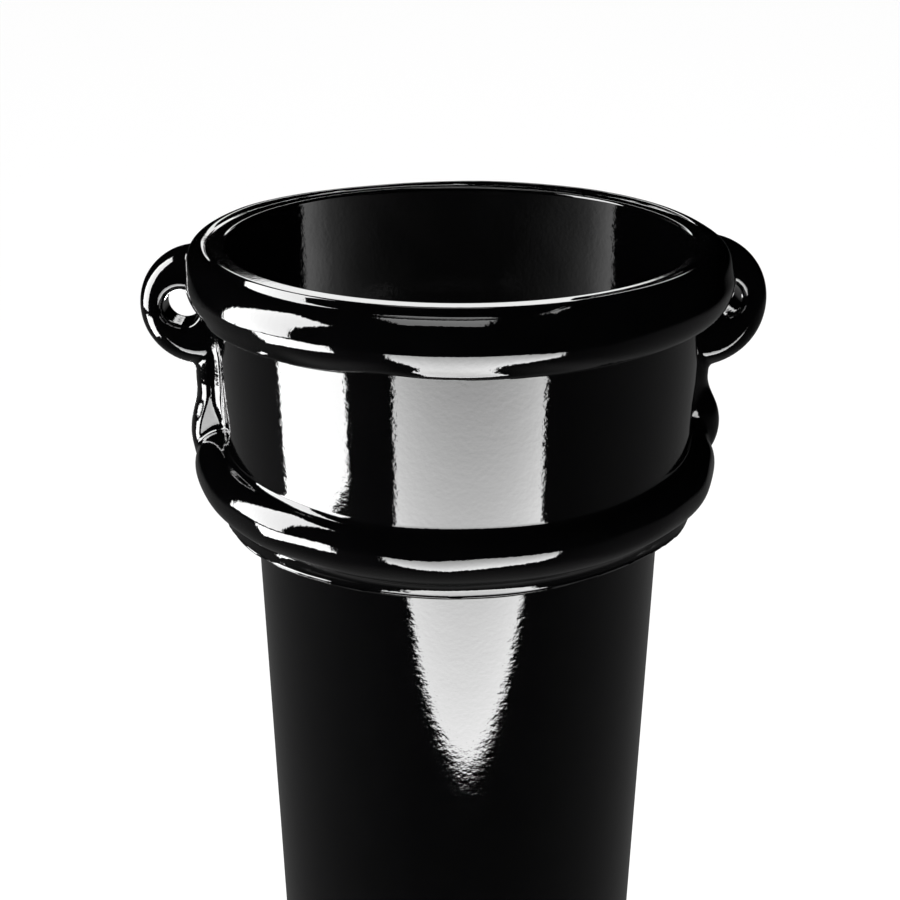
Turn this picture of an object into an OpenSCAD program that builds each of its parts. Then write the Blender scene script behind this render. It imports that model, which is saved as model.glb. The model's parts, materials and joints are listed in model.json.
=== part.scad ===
// Round cast iron downpipe with an eared socket, cast in one piece.
// It stands on its spigot end. The origin is the middle of that end, and +Z runs up the barrel to
// the socket. The ears reach out along X, and the wall that carries the pipe is on the +Y side.

/* [Barrel] */
// Outside diameter of the barrel
barrel_od = 109; // [90:0.5:170]
// Thickness of the barrel's wall
barrel_wall = 4; // [3:0.5:8]
// Laying length, from the spigot end up to the shoulder inside the socket
laying_len = 610; // [300:1:1900]

/* [Socket] */
// Clearance all round for the spigot of the pipe above
joint_gap = 3.2; // [2:0.1:6]
// Thickness of the socket's wall
socket_wall = 3.3; // [3:0.1:8]
// Depth of the socket, from the rim's crest down to the shoulder
socket_depth = 62; // [50:1:120]

/* [Rim] */
// Radius of the bead round the rim
rim_bead_r = 7.2; // [4:0.1:9]
// Depth of that bead's middle below its crest
rim_bead_drop = 9.3; // [8:0.1:14]
// Radius of the crest along the bead's top
rim_crest_r = 3.4; // [2:0.1:4]
// How far the middle of the crest stands out from the socket's wall
rim_crest_out = 2.4; // [1.5:0.1:4]
// Height of the crest above the flat ring round the mouth
rim_crest_rise = 0.7; // [0.2:0.1:1.5]

/* [Foot moulding] */
// Radius of the large bead at the socket's foot
foot_bead_r = 6.2; // [4:0.1:9]
// Height of the large bead's middle above the shoulder
foot_bead_rise = 3.1; // [0:0.1:6]
// Radius of the small ring under the large bead
foot_ring_r = 3.6; // [2.5:0.1:5]
// Height of the slope that runs from the ring in to the barrel
foot_slope_h = 3.3; // [2:0.1:10]

/* [Ears] */
// How far the middle of a fixing hole stands out from the socket's wall
hole_out = 9.5; // [9:0.5:60]
// Diameter of a fixing hole
hole_d = 9; // [6:0.5:12]
// Depth of the fixing holes below the rim's crest
hole_drop = 19.4; // [16:0.1:40]
// Iron between a fixing hole and the tip of its ear
hole_edge = 7; // [4:0.5:12]
// Radius of an ear's round lobe
lobe_r = 17; // [12:0.5:24]
// Thickness of an ear and its web
ear_t = 11; // [8:0.5:20]
// Distance from the middle of the pipe back to the front face of an ear
ear_setback = 0; // [-5:0.5:15]
// How far the straight stretch of the web stands out from the socket's wall
web_out = 8; // [4:0.5:9]
// Radius of the swelling at the foot of the web
swell_r = 14; // [8:0.5:18]
// How far the swelling stands out from the socket's wall
swell_out = 10; // [6:0.5:14]
// Height of the swelling's middle above the shoulder
swell_rise = 9.3; // [4:0.1:20]

/* [Hidden] */
$fn = 96;

// Overrun that lets a cut leave a clean face, and a joined shape run well into its neighbour
over = 1;

barrel_r = barrel_od / 2;
bore_r = barrel_r - barrel_wall;
socket_r = barrel_r + joint_gap;
wall_r = socket_r + socket_wall;
crest_z = laying_len + socket_depth;
mouth_z = crest_z - rim_crest_rise;

rim_bead_z = crest_z - rim_bead_drop;
crest_mid_r = wall_r + rim_crest_out;
crest_mid_z = crest_z - rim_crest_r;
// Direction of the flat that joins the bead's round to the crest's round, square to its face
rim_reach = norm([rim_crest_out, crest_mid_z - rim_bead_z]);
rim_flat = atan2(crest_mid_z - rim_bead_z, rim_crest_out)
    - acos(min(1, (rim_bead_r - rim_crest_r) / rim_reach));

foot_bead_z = laying_len + foot_bead_rise;
// The ring tucks under the bead, half way out between the barrel and the socket's wall.
ring_tuck = 0.5;
foot_ring_z = foot_bead_z - foot_bead_r - foot_ring_r + ring_tuck;
ring_mid_r = (barrel_r + wall_r) / 2 + ring_tuck;
slope_top_z = foot_ring_z - 0.9 * foot_ring_r;

hole_x = wall_r + hole_out;
hole_z = crest_z - hole_drop;
lobe_mid_x = hole_x + hole_d / 2 + hole_edge - lobe_r;
// The ears start inside the socket's wall, so that they are one with it.
root_x = socket_r + over;
swell_mid_x = wall_r + swell_out - swell_r;
swell_z = laying_len + swell_rise;

// Half section of the casting before it is hollowed
module outer_section() {
    square([barrel_r, foot_ring_z]);
    translate([0, foot_ring_z])
        square([wall_r, mouth_z - foot_ring_z]);
    translate([0, rim_bead_z])
        square([crest_mid_r, mouth_z - rim_bead_z]);
    translate([wall_r, rim_bead_z])
        circle(rim_bead_r);
    translate([crest_mid_r, crest_mid_z])
        circle(rim_crest_r);
    polygon([
        [wall_r, rim_bead_z],
        [wall_r + rim_bead_r * cos(rim_flat), rim_bead_z + rim_bead_r * sin(rim_flat)],
        [crest_mid_r + rim_crest_r * cos(rim_flat), crest_mid_z + rim_crest_r * sin(rim_flat)],
        [crest_mid_r, crest_mid_z]
    ]);
    translate([wall_r, foot_bead_z])
        circle(foot_bead_r);
    translate([ring_mid_r, foot_ring_z])
        circle(foot_ring_r);
    polygon([
        [barrel_r - over, slope_top_z - foot_slope_h],
        [barrel_r, slope_top_z - foot_slope_h],
        [ring_mid_r - over, slope_top_z],
        [ring_mid_r - over, foot_ring_z],
        [barrel_r - over, foot_ring_z]
    ]);
}

// The outside of the barrel, the socket and their mouldings, turned so that the seam where the round
// closes faces the wall and stays clear of the ears
module casting() {
    rotate([0, 0, 90])
        rotate_extrude()
            intersection() {
                outer_section();
                square([2 * wall_r, 2 * crest_z]);
            }
}

// The waterway and the wider socket above its shoulder
module hollow() {
    translate([0, 0, -over])
        cylinder(r = bore_r, h = mouth_z);
    translate([0, 0, laying_len])
        cylinder(r = socket_r, h = socket_depth + over);
}

// Outline of one ear with its web, seen from the front
module ear_outline() {
    translate([lobe_mid_x, hole_z])
        circle(lobe_r);
    translate([swell_mid_x, swell_z])
        circle(swell_r);
    translate([root_x, swell_z])
        square([wall_r + web_out - root_x, hole_z - swell_z]);
    translate([root_x, hole_z - lobe_r])
        square([max(lobe_mid_x, wall_r) - root_x, 2 * lobe_r]);
}

// One ear, drilled through from front to back
module ear() {
    translate([0, ear_setback + ear_t, 0])
        rotate([90, 0, 0])
            linear_extrude(ear_t)
                difference() {
                    ear_outline();
                    translate([hole_x, hole_z])
                        circle(hole_d / 2);
                }
}

module downpipe() {
    color("#101112")
        difference() {
            union() {
                casting();
                ear();
                mirror([1, 0, 0]) ear();
            }
            hollow();
        }
}

downpipe();
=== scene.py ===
"""A gloss-black cast iron downpipe with an eared socket, standing on its spigot end.

The casting is described once, as a signed distance in millimetres. Its bores, holes, height and width
come from the CAD model, and its mouldings have sizes of their own. The socket's outside is meshed
from it on a cylindrical grid, the plain barrel and the inside are meshed as turned rows, and every
vertex is then laid on the surface itself.
"""

import json
import math

import bpy
import numpy as np
from mathutils import Matrix, Vector


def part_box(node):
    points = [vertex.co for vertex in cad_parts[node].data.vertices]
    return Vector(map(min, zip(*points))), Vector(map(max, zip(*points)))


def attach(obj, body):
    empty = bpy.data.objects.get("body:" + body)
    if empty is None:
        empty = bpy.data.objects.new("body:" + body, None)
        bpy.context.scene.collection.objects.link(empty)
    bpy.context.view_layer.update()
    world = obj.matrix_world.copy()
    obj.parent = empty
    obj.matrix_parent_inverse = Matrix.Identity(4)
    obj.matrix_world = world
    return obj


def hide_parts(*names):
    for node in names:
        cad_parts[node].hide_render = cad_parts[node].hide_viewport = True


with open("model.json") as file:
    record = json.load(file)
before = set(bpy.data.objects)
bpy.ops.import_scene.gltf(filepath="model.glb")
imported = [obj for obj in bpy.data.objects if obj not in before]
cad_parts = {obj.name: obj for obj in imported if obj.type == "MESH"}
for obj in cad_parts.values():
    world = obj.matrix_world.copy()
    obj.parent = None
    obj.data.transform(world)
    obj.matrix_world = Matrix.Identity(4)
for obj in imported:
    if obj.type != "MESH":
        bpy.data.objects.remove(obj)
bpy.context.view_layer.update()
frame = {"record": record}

# ---- Sizes in millimetres, in the model's own frame ---------------------------------------------

MM = 0.001
MOUNTS = {mount["name"]: mount for mount in frame["record"]["mounts"]}
BARREL_R = MOUNTS["spigot"]["dims"]["r_mm"]
BORE_R = MOUNTS["waterway"]["dims"]["r_mm"]
SOCKET_R = MOUNTS["socket_bore"]["dims"]["r_mm"]
SHOULDER_Z = MOUNTS["waterway"]["dims"]["length_mm"]
HOLE_R = MOUNTS["ear_holes"]["dims"]["hole_r_mm"]
HOLE_X = MOUNTS["ear_holes"]["dims"]["spacing_x_mm"] / 2
EAR_MID_Y = MOUNTS["ear_holes"]["pos_m"][1] / MM
HOLE_Z = MOUNTS["ear_holes"]["pos_m"][2] / MM
CREST_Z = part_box("downpipe")[1].z / MM
EAR_TIP_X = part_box("downpipe")[1].x / MM

SOCKET_WALL = 3.3
WALL_R = SOCKET_R + SOCKET_WALL
# The flat ring round the mouth: its height and its outer edge
FACE_Z = CREST_Z - 0.7
FACE_R = WALL_R + 0.9
# The bead round the mouth: its radius and height, and the radius of the crest along its top
RIM_R = 6.8
RIM_Z = FACE_Z - 8.6
CREST_R = 3.3
# The large bead round the socket's foot
FOOT_R = 7.0
FOOT_Z = SHOULDER_Z + 3.1
# The small ring under it, and the height of the slope from there in to the barrel
RING_OUT_R = (BARREL_R + WALL_R) / 2 + 4.1
RING_TOP_Z = SHOULDER_Z - 4.1
RING_BASE_Z = SHOULDER_Z - 8.1
SLOPE_H = 1.8

# How far the casting's surface waves in and out over its walls, and how lumpy each part is
WALL_WAVE = 0.03
INSIDE_LUMPS = 0.05
RIM_LUMPS = 0.12
FOOT_LUMPS = 0.2
RING_LUMPS = 0.1
EAR_LUMPS = 0.1

EAR_T = 11.0
# The two ears came out of the mould a little different. Each has a drilled hole, a round lobe whose
# middle is a drop below the hole, a web whose edge is rounded over, and a swelling at the web's
# foot. The hole's middle and the furthest points of the rest are given as distances along X.
LEFT_EAR = {
    "hole_x": HOLE_X + 0.2,
    "tip_x": EAR_TIP_X - 0.4,
    "lobe_r": 15.2,
    "lobe_drop": 0.2,
    "web_x": WALL_R + 7.6,
    "web_round": 3.4,
    "swell_x": WALL_R + 10.2,
    "swell_r": 16.0,
    "swell_z": SHOULDER_Z + 8.0,
}
RIGHT_EAR = {
    "hole_x": HOLE_X - 0.4,
    "tip_x": EAR_TIP_X - 0.2,
    "lobe_r": 17.3,
    "lobe_drop": 1.2,
    "web_x": WALL_R + 6.6,
    "web_round": 7.5,
    "swell_x": WALL_R + 10.9,
    "swell_r": 15.0,
    "swell_z": SHOULDER_Z + 7.5,
}

# The rim was shaped by hand, so it changes on its way round. Each row is an azimuth from the front
# in degrees (+ towards +X), then lengths in millimetres, blended from row to row.
# How high the bead's crest stands over the flat ring round the mouth, and how far its middle stands
# out from the socket's wall
RIM_CREST = [
    (-180, 0.45, 2.6),
    (-160, 0.35, 2.4),
    (-138, 0.5, 3.2),
    (-124, 0.5, 3.4),
    (-108, 0.5, 2.8),
    (-88, 0.3, 2.4),
    (-68, -0.5, 1.8),
    (-52, -3.0, -0.5),
    (10, -3.0, -0.5),
    (20, 0.1, 1.0),
    (30, 0.5, 1.4),
    (56, 0.5, 1.4),
    (76, 0.3, 1.8),
    (98, -0.3, 2.2),
    (108, 0.1, 2.4),
    (122, 0.45, 2.6),
    (140, 0.5, 3.8),
    (166, 0.5, 3.9),
]
# Depth of the bead's underside below the flat ring
RIM_BASE = [
    (-180, 14.2),
    (-60, 14.0),
    (-42, 14.4),
    (-31, 15.2),
    (-24, 14.4),
    (-18, 13.2),
    (-10, 13.9),
    (20, 14.3),
    (60, 14.1),
]
# How square the bead's lower half is: 0 round, 1 square
RIM_SQUARE = [(-72, 0), (-58, 0.9), (-42, 0.9), (-30, 0), (-12, 1), (2, 1), (12, 0.5), (24, 0)]
# How far the rim bead and the foot bead stand out beyond their plain rounds
RIM_SWELL = [(-120, 0), (-60, 0), (50, 0), (74, 0.5), (92, 1.0), (112, 0.4), (130, 0)]
FOOT_SWELL = [
    (-120, 0.2),
    (-96, 2.2),
    (-80, 2.2),
    (-66, 0.4),
    (-44, -1.0),
    (-20, -2.8),
    (10, -3.2),
    (34, -2.6),
    (60, 0),
    (84, 0.5),
    (120, 0),
]
# How far the foot bead and the ring under it hang down
FOOT_SAG = [
    (-120, 0),
    (-88, -1.4),
    (-66, 0.6),
    (-50, 1.0),
    (-30, 1.0),
    (10, 1.0),
    (28, 0.2),
    (70, 0.3),
]
# How far that ring stands out beyond its plain round
RING_SWELL = [
    (-120, 0.6),
    (-90, 2.0),
    (-66, 1.0),
    (-44, -0.4),
    (-20, -2.9),
    (0, -3.35),
    (20, -3.2),
    (38, -2.2),
    (60, 0.8),
    (84, 1.2),
    (120, 0.5),
]


# ---- The casting as a signed distance ------------------------------------------------------------


def smooth_min(a, b, k):
    """The smaller of two distances, with a fillet of about k where they meet."""
    h = np.maximum(k - np.abs(a - b), 0) / k
    return np.minimum(a, b) - h * h * k / 4


def smooth_max(a, b, k):
    """The larger of two distances, with a round of about k where they meet."""
    return -smooth_min(-a, -b, k)


def disc(u, v, mid_u, mid_v, radius):
    """Distance to a circle."""
    return np.hypot(u - mid_u, v - mid_v) - radius


def block(u, v, low_u, high_u, low_v, high_v):
    """Distance to an upright rectangle."""
    du = np.abs(u - (low_u + high_u) / 2) - (high_u - low_u) / 2
    dv = np.abs(v - (low_v + high_v) / 2) - (high_v - low_v) / 2
    return np.hypot(np.maximum(du, 0), np.maximum(dv, 0)) + np.minimum(np.maximum(du, dv), 0)


def step(value, start, end):
    """Rises smoothly from 0 at start to 1 at end."""
    t = np.clip((value - start) / (end - start), 0, 1)
    return t * t * (3 - 2 * t)


def make_waves(seed, count, shortest, longest):
    """Directions, wave numbers and phases of a few plane waves that add up to an uneven surface."""
    rng = np.random.default_rng(seed)
    ways = rng.normal(size=(count, 3))
    ways /= np.linalg.norm(ways, axis=1)[:, None]
    lengths = np.geomspace(shortest, longest, count)
    return ways * (2 * math.pi / lengths)[:, None], rng.uniform(0, 2 * math.pi, count), lengths


def ripple(waves, x, y, z):
    """Sum of the waves, between about -1 and 1, the long ones strongest."""
    vectors, phases, lengths = waves
    total = 0
    for vector, phase, length in zip(vectors, phases, lengths):
        total = total + length * np.sin(vector[0] * x + vector[1] * y + vector[2] * z + phase)
    return total / np.sqrt((lengths**2).sum())


LUMPY = make_waves(7, 9, 13.0, 34.0)
WAVY = make_waves(11, 7, 22.0, 70.0)


def around(table, column, azimuth):
    """A column of a table of azimuths at any azimuth, blended smoothly from row to row."""
    places = [row[0] for row in table]
    lengths = [row[column] for row in table]
    turns = np.arange(-180, 181.0)
    shifts = (-4, -2, 0, 2, 4)
    blended = sum(np.interp(turns + shift, places, lengths, period=360) for shift in shifts)
    return np.interp(azimuth, turns, blended / len(shifts))


def rim(r, z, azimuth):
    """The bead round the mouth, its crest, and the flat ring inside them."""
    square_fillet, crest_fillet, base_round = 0.8, 3.0, 1.2
    bead = disc(r, z, WALL_R, RIM_Z, RIM_R)
    # The lower half's face, where it is square, leans out a little towards its top. Where it is
    # round, the square lies inside the round.
    lean, inwards = 0.12, 1.8
    narrow = inwards * (1 - around(RIM_SQUARE, 1, azimuth))
    square = np.maximum(r - WALL_R - RIM_R + narrow - lean * (z - RIM_Z), z - RIM_Z)
    bead = smooth_min(bead, square, square_fillet)
    crest_r = WALL_R + around(RIM_CREST, 2, azimuth)
    crest_z = FACE_Z + around(RIM_CREST, 1, azimuth) - CREST_R
    bead = smooth_min(bead, disc(r, z, crest_r, crest_z, CREST_R), crest_fillet)
    bead = smooth_max(bead, FACE_Z - around(RIM_BASE, 1, azimuth) - z, base_round)
    # The flat ring is the top of a collar that widens downwards; the second number is the length
    # of that slope for each millimetre of its height.
    flare, flare_length = 0.35, 1.06
    edge_round, edge_fillet = 0.3, 0.4
    collar = np.maximum((r - FACE_R - flare * (FACE_Z - z)) / flare_length, RIM_Z - z)
    return smooth_min(bead, smooth_max(collar, z - FACE_Z, edge_round), edge_fillet)


def foot_ring(r, z):
    """The small ring under the large bead round the socket's foot, and the slope to the barrel."""
    corner = 0.7
    ring = block(r, z, 0, RING_OUT_R - corner, RING_BASE_Z + corner, RING_TOP_Z - corner) - corner
    slope_run = (RING_OUT_R - 1 - BARREL_R) / SLOPE_H
    slope = (r - BARREL_R - slope_run * (z - RING_BASE_Z + SLOPE_H)) / math.hypot(1, slope_run)
    # It starts just inside the ring and ends inside the barrel.
    above = z - RING_BASE_Z - 0.3
    below = RING_BASE_Z - SLOPE_H - 2 - z
    return smooth_min(ring, np.maximum(slope, np.maximum(above, below)), 0.8)


def ear(x, y, z, sizes):
    """One ear with its web: a plate with fat round edges, drilled through its lobe."""
    web_fillet, swell_fillet, hole_round = 1.5, 3.0, 2.2
    lobe_r, swell_r = sizes["lobe_r"], sizes["swell_r"]
    lobe = disc(x, z, sizes["tip_x"] - lobe_r, HOLE_Z - sizes["lobe_drop"], lobe_r)
    swell = disc(x, z, sizes["swell_x"] - swell_r, sizes["swell_z"], swell_r)
    web = block(x, z, SOCKET_R + 1, sizes["web_x"], SHOULDER_Z, HOLE_Z)
    outline = smooth_min(smooth_min(lobe, web, web_fillet), swell, swell_fillet)
    hole = disc(x, z, sizes["hole_x"], HOLE_Z, HOLE_R)
    # Each edge is half an ellipse across, from the web's own rounding up to the lobe's.
    web_round, lobe_round = sizes["web_round"], 5.0
    rounding = web_round + (lobe_round - web_round) * step(z, HOLE_Z - 30, HOLE_Z - 12)
    across = np.maximum(1 + outline / rounding, 0)
    # The lobe leans back towards its top.
    lean = 0.12 * (np.clip(z - HOLE_Z, -20, 20) + 8)
    through = (y - EAR_MID_Y - lean) / (EAR_T / 2)
    return smooth_max((np.hypot(across, through) - 1) * EAR_T / 2, -hole, hole_round)


def wall_and_rim(r, z, azimuth, uneven, wide):
    """The socket's wall with the bead round its mouth; uneven and wide are the ripples there."""
    rim_reach, rim_rise, fillet = 9, 0.2, 1.6
    near_rim = np.exp(-(((z - RIM_Z) / rim_reach) ** 2))
    # The flat ring round the mouth stays true.
    free = 1 - step(z, FACE_Z - 4, FACE_Z - 1) * (1 - step(r, FACE_R + 0.4, FACE_R + 3))
    out = near_rim * (around(RIM_SWELL, 1, azimuth) + RIM_LUMPS * uneven)
    out = free * (out + WALL_WAVE * wide)
    wall = block(r - WALL_WAVE * wide, z, -WALL_R, WALL_R, RING_TOP_Z - 2, FACE_Z - 2)
    bead = rim(r - out, z + free * near_rim * rim_rise * wide, azimuth)
    return smooth_min(wall, bead, fillet)


def with_foot(body, r, z, azimuth, uneven, wide):
    """The body with the bead and the ring round the socket's foot, and the barrel."""
    foot_reach, foot_drop = 11, 0.35
    bead_fillet, ring_fillet, barrel_fillet = 1.4, 0.9, 0.8
    near_foot = np.exp(-(((z - FOOT_Z + 3) / foot_reach) ** 2))
    out = near_foot * (around(FOOT_SWELL, 1, azimuth) + FOOT_LUMPS * uneven)
    down = around(FOOT_SAG, 1, azimuth) + foot_drop * wide
    bead = disc(r - out, z + near_foot * down, WALL_R - 0.6, FOOT_Z, FOOT_R)
    ring = foot_ring(r - around(RING_SWELL, 1, azimuth) - RING_LUMPS * uneven, z + down)
    barrel = np.maximum(r - WALL_WAVE * wide - BARREL_R, z - FOOT_Z)
    body = smooth_min(smooth_min(body, bead, bead_fillet), ring, ring_fillet)
    return smooth_min(body, barrel, barrel_fillet)


def outside(x, y, z):
    """The casting with its mouldings and ears, before it is hollowed."""
    r = np.hypot(x, y)
    azimuth = np.degrees(np.arctan2(x, -y))
    uneven = ripple(LUMPY, x, y, z)
    wide = ripple(WAVY, x, y, z)
    body = wall_and_rim(r, z, azimuth, uneven, wide)
    body = with_foot(body, r, z, azimuth, uneven, wide)
    ears = np.minimum(ear(-x, y, z, LEFT_EAR), ear(x, y, z, RIGHT_EAR))
    # The fillets between the ears and the socket are wide at the web and tighter at its ends.
    tight, extra = 1.8, 2.6
    at_web = step(z, FOOT_Z + 6, FOOT_Z + 16) * (1 - step(z, RIM_Z - 12, RIM_Z - 4))
    return smooth_min(body, ears - EAR_LUMPS * uneven, tight + extra * at_web)


def casting(x, y, z):
    """The whole casting: hollowed, and cut square at the spigot end."""
    shoulder_round, mouth_round, end_round = 0.8, 0.8, 1.2
    r = np.hypot(x, y)
    rough = INSIDE_LUMPS * ripple(LUMPY, x, y, z)
    socket = np.maximum(r - SOCKET_R, SHOULDER_Z - z)
    hollow = smooth_min(socket, r - BORE_R, shoulder_round) + rough
    solid = smooth_max(outside(x, y, z), -hollow, mouth_round)
    return smooth_max(solid, -z, end_round)


def gradient(field, points):
    """Unit normals of a field, and its slope, at an array of points."""
    reach = 0.02
    slopes = []
    for axis in range(3):
        shift = np.zeros(3)
        shift[axis] = reach
        ahead = field(*(points + shift).T)
        behind = field(*(points - shift).T)
        slopes.append((ahead - behind) / (2 * reach))
    slopes = np.stack(slopes, axis=-1)
    size = np.maximum(np.linalg.norm(slopes, axis=-1, keepdims=True), 1e-6)
    return slopes / size, size[:, 0]


def settle(field, points, rounds, most):
    """Moves points onto the field's surface, each by no more than most at a time."""
    for _ in range(rounds):
        normals, size = gradient(field, points)
        away = np.clip(field(*points.T) / size, -most, most)
        points = points - normals * away[:, None]
    return points


# ---- Mesh ----------------------------------------------------------------------------------------

# The grid reaches from inside the barrel's surface to beyond the ears, and from below the slope to
# over the rim.
GRID_PITCH = 0.75
GRID_FOOT = RING_BASE_Z - SLOPE_H - 5
GRID_OUT_R = EAR_TIP_X + 1.2


def spaced(start, end, pitch):
    """Evenly spaced values from start to just before end, about pitch apart."""
    count = max(1, round((end - start) / pitch))
    return list(np.linspace(start, end, count, endpoint=False))


def grid_azimuths():
    """Node angles round the pipe in radians: close together at the ears, wider elsewhere."""
    fine, coarse, before, after = 0.46, 1.3, 7.0, 16.0
    degrees = spaced(-before, after, fine) + spaced(after, 180 - after, coarse)
    degrees += spaced(180 - after, 180 + before, fine) + spaced(180 + before, 360 - before, coarse)
    return np.radians(degrees)


def surface_cells(values):
    """Cells of a grid, closed round its first axis, that the surface passes through."""
    inside = values < 0
    inside = np.concatenate([inside, inside[:1]])
    low = high = None
    for a in (0, 1):
        for b in (0, 1):
            for c in (0, 1):
                corner = inside[a : a + values.shape[0], b : b - 1 or None, c : c - 1 or None]
                low = corner if low is None else low & corner
                high = corner if high is None else high | corner
    return high & ~low


def grid_quads(values, number):
    """One quad of four neighbouring cells for each grid edge that the surface crosses."""
    inside = values < 0
    quads = []
    before = np.roll(number, 1, axis=0)
    inside_next = np.roll(inside, -1, axis=0)
    j, i, k = np.nonzero(inside[:, 1:-1, 1:-1] != inside_next[:, 1:-1, 1:-1])
    quads.append([number[j, i, k], number[j, i + 1, k], number[j, i + 1, k + 1], number[j, i, k + 1]])
    j, i, k = np.nonzero(inside[:, :-1, 1:-1] != inside[:, 1:, 1:-1])
    quads.append([before[j, i, k], number[j, i, k], number[j, i, k + 1], before[j, i, k + 1]])
    j, i, k = np.nonzero(inside[:, 1:-1, :-1] != inside[:, 1:-1, 1:])
    quads.append([before[j, i, k], number[j, i, k], number[j, i + 1, k], before[j, i + 1, k]])
    quads = np.concatenate([np.stack(four, axis=-1) for four in quads])
    return quads[(quads >= 0).all(axis=1)]


def relax(points, quads, fixed, rounds):
    """Evens out the mesh: each free vertex moves towards its neighbours and back to the surface."""
    pairs = np.concatenate([quads[:, [a, (a + 1) % 4]] for a in range(4)])
    pairs = np.concatenate([pairs, pairs[:, ::-1]])
    count = np.bincount(pairs[:, 0], minlength=len(points))
    count = np.maximum(count, 1)
    for _ in range(rounds):
        middle = np.stack(
            [np.bincount(pairs[:, 0], points[pairs[:, 1], c], len(points)) for c in range(3)], -1
        )
        moved = points + 0.5 * (middle / count[:, None] - points)
        moved[fixed] = points[fixed]
        points = settle(outside, moved, rounds=1, most=0.5)
    return points


def top_height(turns, radius):
    """Height of the rim's top surface at a radius, at each angle round the pipe, by halving."""
    low = np.full(len(turns), RIM_Z)
    high = np.full(len(turns), CREST_Z + 2)
    for _ in range(20):
        middle = (low + high) / 2
        solid = outside(radius * np.cos(turns), radius * np.sin(turns), middle) < 0
        low = np.where(solid, middle, low)
        high = np.where(solid, high, middle)
    return low


def top_rows():
    """Radius of each turned row over the rim's top, close together at the flat ring's edge."""
    outside_it = [1.2, 0.9, 0.72, 0.6, 0.45, 0.3, 0.15, 0.05]
    inside_it = [0.02, 0.1, 0.3, 0.7, 1.2, 1.7, 2.5, 3.3]
    rows = [FACE_R + out for out in outside_it] + [FACE_R - inwards for inwards in inside_it]
    return rows + [SOCKET_R + 0.45, SOCKET_R + 0.25]


def turned_rows():
    """Radius and height of each turned row, from the mouth's inner edge down, round and up again."""
    rows = [(SOCKET_R + 0.12, FACE_Z - 0.05), (SOCKET_R + 0.04, FACE_Z - 0.14)]
    depths = [0.35, 0.7, 1.5, 3, 5, 8, 12, 17, 23, 30, 38, 46, 53, 58, 60.2, 61]
    rows += [(SOCKET_R, FACE_Z - depth) for depth in depths]
    rows += [(SOCKET_R - inwards, SHOULDER_Z) for inwards in (0.3, 1.2, 3.6, 6.0, 6.9)]
    rows += [(BORE_R, z) for z in [SHOULDER_Z - 0.5, SHOULDER_Z - 1.5, SHOULDER_Z - 6]]
    rows += [(BORE_R, z) for z in np.linspace(SHOULDER_Z - 20, 6, 17)]
    rows += [(BORE_R, z) for z in (1.6, 0.5)]
    rows += [(BORE_R + 0.6, 0), (BARREL_R - 0.6, 0)]
    rows += [(BARREL_R, z) for z in (0.5, 1.6)]
    rows += [(BARREL_R, z) for z in np.linspace(6, GRID_FOOT - 2.5, 30)]
    return rows


def ring_points(angles, radius, height):
    """A turned row's vertices; the height may change from one to the next."""
    height = height + np.zeros(len(angles))
    return np.stack([radius * np.cos(angles), radius * np.sin(angles), height], axis=-1)


def grid_nodes():
    """Angles, radii, levels and heights of the grid's nodes, and which radius the turned rows join.

    The barrel's surface, and the rim's top where the turned rows join on, pass half way between
    two nodes: the levels near the top follow the rim up and down.
    """
    turns = grid_azimuths()
    columns = int((GRID_OUT_R - BARREL_R) / GRID_PITCH)
    radii = BARREL_R + GRID_PITCH * (np.arange(-2, columns + 1) + 0.5)
    rows = int((FACE_Z - GRID_FOOT) / GRID_PITCH)
    levels = FACE_Z + GRID_PITCH * (np.arange(-rows, 3) - 0.5)
    join = int(np.searchsorted(radii, FACE_R + 1.5)) - 1
    lift = top_height(turns, (radii[join] + radii[join + 1]) / 2) - FACE_Z
    heights = levels + lift[:, None] * step(levels, RIM_Z, FACE_Z - 2)
    return turns, radii, levels, heights, join


def middle_turns(turns):
    """The angles half way between the grid's nodes."""
    return turns + np.diff(np.append(turns, turns[0] + 2 * math.pi)) / 2


def grid_surface(turns, radii, levels, heights, join):
    """The socket's outside: its vertices, its quads, and the loops at its top and its foot."""
    turn, radius = turns[:, None, None], radii[None, :, None]
    values = outside(radius * np.cos(turn), radius * np.sin(turn), heights[:, None, :])
    cells = surface_cells(values)
    mid_radii = (radii[1:] + radii[:-1]) / 2
    mid_heights = (heights[:, 1:] + heights[:, :-1]) / 2
    # The turned rows cover the rim's top from the join inwards.
    high = levels[1:] > RIM_Z
    inner = (np.arange(len(mid_radii)) < join)[:, None] & high[None, :]
    cells &= ~inner[None]
    number = np.full(cells.shape, -1)
    number[cells] = np.arange(cells.sum())
    j, i, k = np.nonzero(cells)
    turn, radius = middle_turns(turns)[j], mid_radii[i]
    points = np.stack([radius * np.cos(turn), radius * np.sin(turn), mid_heights[j, k]], -1)
    quads = grid_quads(values, number)

    top = number[:, join, :][:, high].max(axis=1)
    foot = number[:, :, 0].max(axis=1)
    fixed = np.zeros(len(points), bool)
    fixed[top] = True
    fixed[foot] = True
    points = settle(outside, points, rounds=3, most=0.6)
    return relax(points, quads, fixed, rounds=6), quads, top, foot


def facing_out(points, normals, quads):
    """The quads, each one turned so that it faces the same way as its vertices' normals."""
    a, b, c, d = (points[quads[:, corner]] for corner in range(4))
    face = np.cross(c - a, d - b)
    backwards = (face * normals[quads].sum(axis=1)).sum(axis=1) < 0
    quads[backwards] = quads[backwards][:, ::-1]
    return quads


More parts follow.
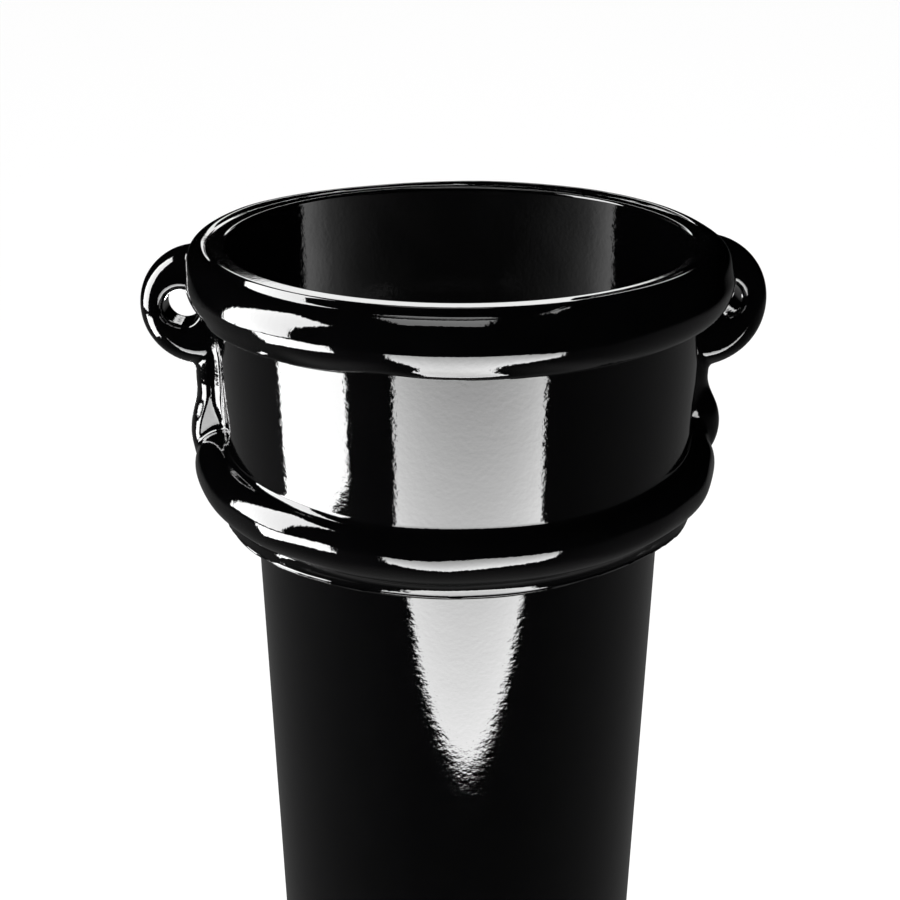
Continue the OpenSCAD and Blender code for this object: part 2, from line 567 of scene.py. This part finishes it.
def casting_mesh():
    """Vertices in millimetres, their normals, and the quads of the whole casting."""
    turns, radii, levels, heights, join = grid_nodes()
    points, quads, top, foot = grid_surface(turns, radii, levels, heights, join)
    mid_turns = middle_turns(turns)
    loops = [top]
    rows = [(radius, top_height(mid_turns, radius)) for radius in top_rows()]
    for radius, height in rows + turned_rows():
        loops.append(len(points) + np.arange(len(turns)))
        points = np.concatenate([points, ring_points(mid_turns, radius, height)])
    loops.append(foot)
    for one, other in zip(loops[:-1], loops[1:]):
        strip = np.stack([one, other, np.roll(other, -1), np.roll(one, -1)], axis=-1)
        quads = np.concatenate([quads, strip])
    points = settle(casting, points, rounds=3, most=0.4)
    normals, _ = gradient(casting, points)
    return points, normals, facing_out(points, normals, quads)


def mesh_object(name, points, normals, quads):
    """A Blender object of a mesh given in millimetres."""
    mesh = bpy.data.meshes.new(name)
    mesh.from_pydata((points * MM).tolist(), [], quads.tolist())
    mesh.shade_smooth()
    mesh.normals_split_custom_set_from_vertices(normals.tolist())
    piece = bpy.data.objects.new(name, mesh)
    bpy.context.scene.collection.objects.link(piece)
    return piece


# ---- Materials -----------------------------------------------------------------------------------


def noise(tree, place, scale, detail):
    """A noise texture's output; the scale is in bumps per metre."""
    node = tree.nodes.new("ShaderNodeTexNoise")
    node.inputs["Scale"].default_value = scale
    node.inputs["Detail"].default_value = detail
    tree.links.new(place.outputs["Object"], node.inputs["Vector"])
    return node.outputs["Fac"]


def map_range(tree, value, from_range=(0.0, 1.0), to_range=(0.0, 1.0)):
    """A value moved from one range to another."""
    node = tree.nodes.new("ShaderNodeMapRange")
    node.inputs["From Min"].default_value = from_range[0]
    node.inputs["From Max"].default_value = from_range[1]
    node.inputs["To Min"].default_value = to_range[0]
    node.inputs["To Max"].default_value = to_range[1]
    tree.links.new(value, node.inputs["Value"])
    return node.outputs["Result"]


def bump(tree, height, strength, distance):
    """A bump node of a height texture; the distance is in metres."""
    node = tree.nodes.new("ShaderNodeBump")
    tree.links.new(strength, node.inputs["Strength"])
    node.inputs["Distance"].default_value = distance
    tree.links.new(height, node.inputs["Height"])
    return node


def gloss_paint():
    """Thick black gloss over cast iron: nearly black, mirror-like, with the iron's fine grain."""
    darkest = (0.0004, 0.0004, 0.0005, 1)
    lightest = (0.0012, 0.0012, 0.0013, 1)
    paint_ior = 1.6
    material = bpy.data.materials.new("gloss_black_paint")
    material.use_nodes = True
    tree = material.node_tree
    links = tree.links
    shader = tree.nodes["Principled BSDF"]
    place = tree.nodes.new("ShaderNodeTexCoord")
    grain = noise(tree, place, scale=900, detail=3)
    skin = noise(tree, place, scale=160, detail=2)

    # The ring round the mouth was finished smoother than the rest.
    split = tree.nodes.new("ShaderNodeSeparateXYZ")
    links.new(place.outputs["Object"], split.inputs["Vector"])
    edge = ((FACE_Z - 1.0) * MM, (FACE_Z - 0.4) * MM)
    rough = map_range(tree, split.outputs["Z"], from_range=edge, to_range=(1.0, 0.2))
    fine = bump(tree, grain, rough, distance=0.00002)
    broad = bump(tree, skin, rough, distance=0.00003)
    links.new(fine.outputs["Normal"], broad.inputs["Normal"])
    links.new(broad.outputs["Normal"], shader.inputs["Normal"])

    shade = tree.nodes.new("ShaderNodeValToRGB")
    shade.color_ramp.elements[0].color = darkest
    shade.color_ramp.elements[1].color = lightest
    links.new(skin, shade.inputs["Fac"])
    links.new(shade.outputs["Color"], shader.inputs["Base Color"])

    gloss = map_range(tree, grain, to_range=(0.02, 0.05))
    links.new(gloss, shader.inputs["Roughness"])
    shader.inputs["IOR"].default_value = paint_ior
    # A clear coat reflects on top of the paint's own gloss, which makes the reflections brighter.
    links.new(broad.outputs["Normal"], shader.inputs["Coat Normal"])
    links.new(gloss, shader.inputs["Coat Roughness"])
    shader.inputs["Coat Weight"].default_value = 1.0
    shader.inputs["Coat IOR"].default_value = paint_ior
    return material


def floor_material():
    """A pale floor that shows white to the camera, with only a trace of shadow beside the foot."""
    grey = 0.4
    # Added for the camera alone, so that the lit floor comes out white
    lift = 0.62
    material = bpy.data.materials.new("pale_floor")
    material.use_nodes = True
    nodes = material.node_tree.nodes
    links = material.node_tree.links
    shader = nodes["Principled BSDF"]
    shader.inputs["Base Color"].default_value = (grey, grey, grey, 1)
    shader.inputs["Roughness"].default_value = 0.9
    rays = nodes.new("ShaderNodeLightPath")
    glow = nodes.new("ShaderNodeMath")
    glow.operation = "MULTIPLY"
    glow.inputs[1].default_value = lift
    links.new(rays.outputs["Is Camera Ray"], glow.inputs[0])
    shader.inputs["Emission Color"].default_value = (1, 1, 1, 1)
    links.new(glow.outputs["Value"], shader.inputs["Emission Strength"])
    return material


# ---- Pieces --------------------------------------------------------------------------------------

pipe = mesh_object("eared_downpipe", *casting_mesh())
pipe.data.materials.append(gloss_paint())
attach(pipe, "root")
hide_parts("downpipe")

FLOOR_WIDTH = 60000
bpy.ops.mesh.primitive_plane_add(size=FLOOR_WIDTH * MM)
floor = bpy.context.object
floor.name = "floor"
floor.data.materials.append(floor_material())
floor.visible_glossy = False

# ---- Camera and light ----------------------------------------------------------------------------

# The viewer stands in front, turned a little towards -X, and looks down into the mouth. Places
# below are given as that viewer has them, with heights from the flat ring round the mouth.
VIEW_TURN = math.radians(-3.0)
VIEW = Matrix.Rotation(VIEW_TURN, 4, "Z")
LOOK_DOWN = math.radians(24.14)
LENS = 46.65
SENSOR_WIDTH = 36


def level(x, y, z):
    """A place in millimetres, its height given from the flat ring round the mouth."""
    return Vector((x, y, FACE_Z + z))


CAMERA_PLACE = level(-2.1, -287.6, 69.9)

camera_data = bpy.data.cameras.new("camera")
camera_data.sensor_width = SENSOR_WIDTH
camera_data.lens = LENS
camera_data.clip_start = 10 * MM
camera = bpy.data.objects.new("camera", camera_data)
camera.matrix_world = (
    VIEW
    @ Matrix.Translation(CAMERA_PLACE * MM)
    @ Matrix.Rotation(math.pi / 2 - LOOK_DOWN, 4, "X")
)
bpy.context.scene.collection.objects.link(camera)
bpy.context.scene.camera = camera


def calc(tree, operation, first, second=0.0):
    """A Math node's output; first and second are numbers or other nodes' outputs."""
    node = tree.nodes.new("ShaderNodeMath")
    node.operation = operation
    for socket, given in zip(node.inputs, (first, second)):
        if isinstance(given, bpy.types.NodeSocket):
            tree.links.new(given, socket)
        else:
            socket.default_value = given
    return node.outputs["Value"]


def area_light(name, middle, target, size, radiance):
    """A lamp of a given size in millimetres, seen as a card of the given radiance."""
    data = bpy.data.lights.new(name, "AREA")
    data.shape = "RECTANGLE"
    data.size = size[0] * MM
    data.size_y = size[1] * MM
    data.energy = radiance * math.pi * size[0] * size[1] * MM * MM
    lamp = bpy.data.objects.new(name, data)
    facing = (target - middle).to_track_quat("-Z", "Y").to_matrix().to_4x4()
    lamp.matrix_world = VIEW @ Matrix.Translation(middle * MM) @ facing
    lamp.visible_camera = False
    bpy.context.scene.collection.objects.link(lamp)
    return lamp


def light_place(lamp):
    """Where on a lamp a ray meets it, across and up, each from 0 to 1."""
    lamp.data.use_nodes = True
    tree = lamp.data.node_tree
    place = tree.nodes.new("ShaderNodeNewGeometry")
    split = tree.nodes.new("ShaderNodeSeparateXYZ")
    tree.links.new(place.outputs["Parametric"], split.inputs["Vector"])
    return tree, split.outputs["X"], split.outputs["Y"]


def light_strength(tree, strength):
    """Gives a lamp the strength that its nodes worked out."""
    tree.links.new(strength, tree.nodes["Emission"].inputs["Strength"])


def shade_front_card(lamp):
    """Brightest at its rounded foot, fading upwards, and brighter towards its sides higher up."""
    middle, foot_low, foot_top, foot_round = 0.52, 0.05, 0.5, 1.6
    top_loss, side_gain = 0.65, 0.45
    tree, across, up = light_place(lamp)
    fade = calc(tree, "SUBTRACT", 1.0, calc(tree, "MULTIPLY", up, top_loss))
    aside = calc(tree, "MULTIPLY", calc(tree, "SUBTRACT", across, middle), 2.0)
    aside = calc(tree, "ABSOLUTE", aside)
    sides = calc(tree, "MULTIPLY", calc(tree, "POWER", aside, 2.0), side_gain)
    sides = calc(tree, "ADD", calc(tree, "MULTIPLY", sides, up), 1.0)
    below = calc(tree, "MAXIMUM", calc(tree, "SUBTRACT", foot_top, up), 0.0)
    drop = calc(tree, "POWER", calc(tree, "DIVIDE", below, foot_top - foot_low), foot_round)
    outline = calc(tree, "ADD", calc(tree, "POWER", aside, foot_round), drop)
    lit = calc(tree, "LESS_THAN", outline, 1.0)
    light_strength(tree, calc(tree, "MULTIPLY", calc(tree, "MULTIPLY", fade, sides), lit))


def shade_mouth_card(lamp):
    """Dim in the middle and brighter towards both sides."""
    least = 0.04
    tree, across, _ = light_place(lamp)
    aside = calc(tree, "MULTIPLY", calc(tree, "SUBTRACT", across, 0.5), 2.0)
    light_strength(tree, calc(tree, "ADD", calc(tree, "ABSOLUTE", aside), least))


def shade_mouth_wing(lamp, side):
    """Brighter towards the mouth's far wall; side is 1 for the wing at +X and -1 for the other."""
    mean, change = 0.65, 0.7
    tree, across, _ = light_place(lamp)
    back = calc(tree, "MULTIPLY", calc(tree, "SUBTRACT", across, 0.5), side)
    light_strength(tree, calc(tree, "ADD", calc(tree, "MULTIPLY", back, change), mean))


front_card = area_light(
    "front_card", level(54, -500, -337), level(54, 0, -337), (660, 344), radiance=7.6
)
shade_front_card(front_card)
# Small dim cards hang in the mouth: one faces its far wall, and one at each side faces across it.
CARD_Z, CARD_H = -33, 54
mouth_card = area_light(
    "mouth_card", level(0, 25, CARD_Z), level(0, 60, CARD_Z), (50, CARD_H), radiance=0.213
)
shade_mouth_card(mouth_card)
for side, name in ((-1, "mouth_left_wing"), (1, "mouth_right_wing")):
    wing = area_light(
        name, level(side * 25, 32, CARD_Z), level(0, 32, CARD_Z), (14, CARD_H), radiance=0.23
    )
    wing.data.spread = math.radians(90)
    shade_mouth_wing(wing, side)
area_light("left_card", level(-500, -230, -222), level(0, -230, -222), (370, 204), radiance=8.8)
area_light("left_box", level(-600, -80, 300), level(0, -80, 300), (370, 800), radiance=7.2)
area_light("top_box", level(-35, 60, 500), level(-35, 59, 0), (200, 300), radiance=1.3)
area_light("back_strip", level(0, 500, 170), level(0, 0, 170), (340, 34), radiance=2.0)
area_light("low_back_strip", level(-130, 384, -194), level(-60, 0, -40), (90, 60), radiance=7.5)


def studio_world():
    """White to the camera and to the paint's dull part, but not to its gloss.

    What the gloss mirrors is a dark room, with a floor that is a little lighter behind the pipe, so
    the white background that the camera sees doesn't show in the paint.
    """
    behind_glow, behind_bend = 0.08, 1.3
    steep_from, steep_glow = 0.7, 0.2
    horizon = (0.1, 0.25)
    world = bpy.data.worlds.new("studio")
    bpy.context.scene.world = world
    world.use_nodes = True
    tree = world.node_tree
    background = tree.nodes["Background"]
    place = tree.nodes.new("ShaderNodeTexCoord")
    split = tree.nodes.new("ShaderNodeSeparateXYZ")
    tree.links.new(place.outputs["Generated"], split.inputs["Vector"])
    behind = calc(tree, "MULTIPLY", calc(tree, "ADD", split.outputs["Y"], 1.0), 0.5)
    behind = calc(tree, "MULTIPLY", calc(tree, "POWER", behind, behind_bend), behind_glow)
    down = calc(tree, "SUBTRACT", 0.0, split.outputs["Z"])
    steep = calc(tree, "MAXIMUM", calc(tree, "SUBTRACT", down, steep_from), 0.0)
    floor_glow = calc(tree, "ADD", behind, calc(tree, "MULTIPLY", steep, steep_glow))
    below_horizon = map_range(tree, down, from_range=horizon)
    dark_room = calc(tree, "MULTIPLY", floor_glow, below_horizon)
    rays = tree.nodes.new("ShaderNodeLightPath")
    white = calc(tree, "MAXIMUM", rays.outputs["Is Camera Ray"], rays.outputs["Is Diffuse Ray"])
    strength = calc(tree, "MAXIMUM", dark_room, white)
    tree.links.new(strength, background.inputs["Strength"])
    background.inputs["Color"].default_value = (1, 1, 1, 1)


studio_world()

bpy.context.scene.view_settings.view_transform = "Standard"
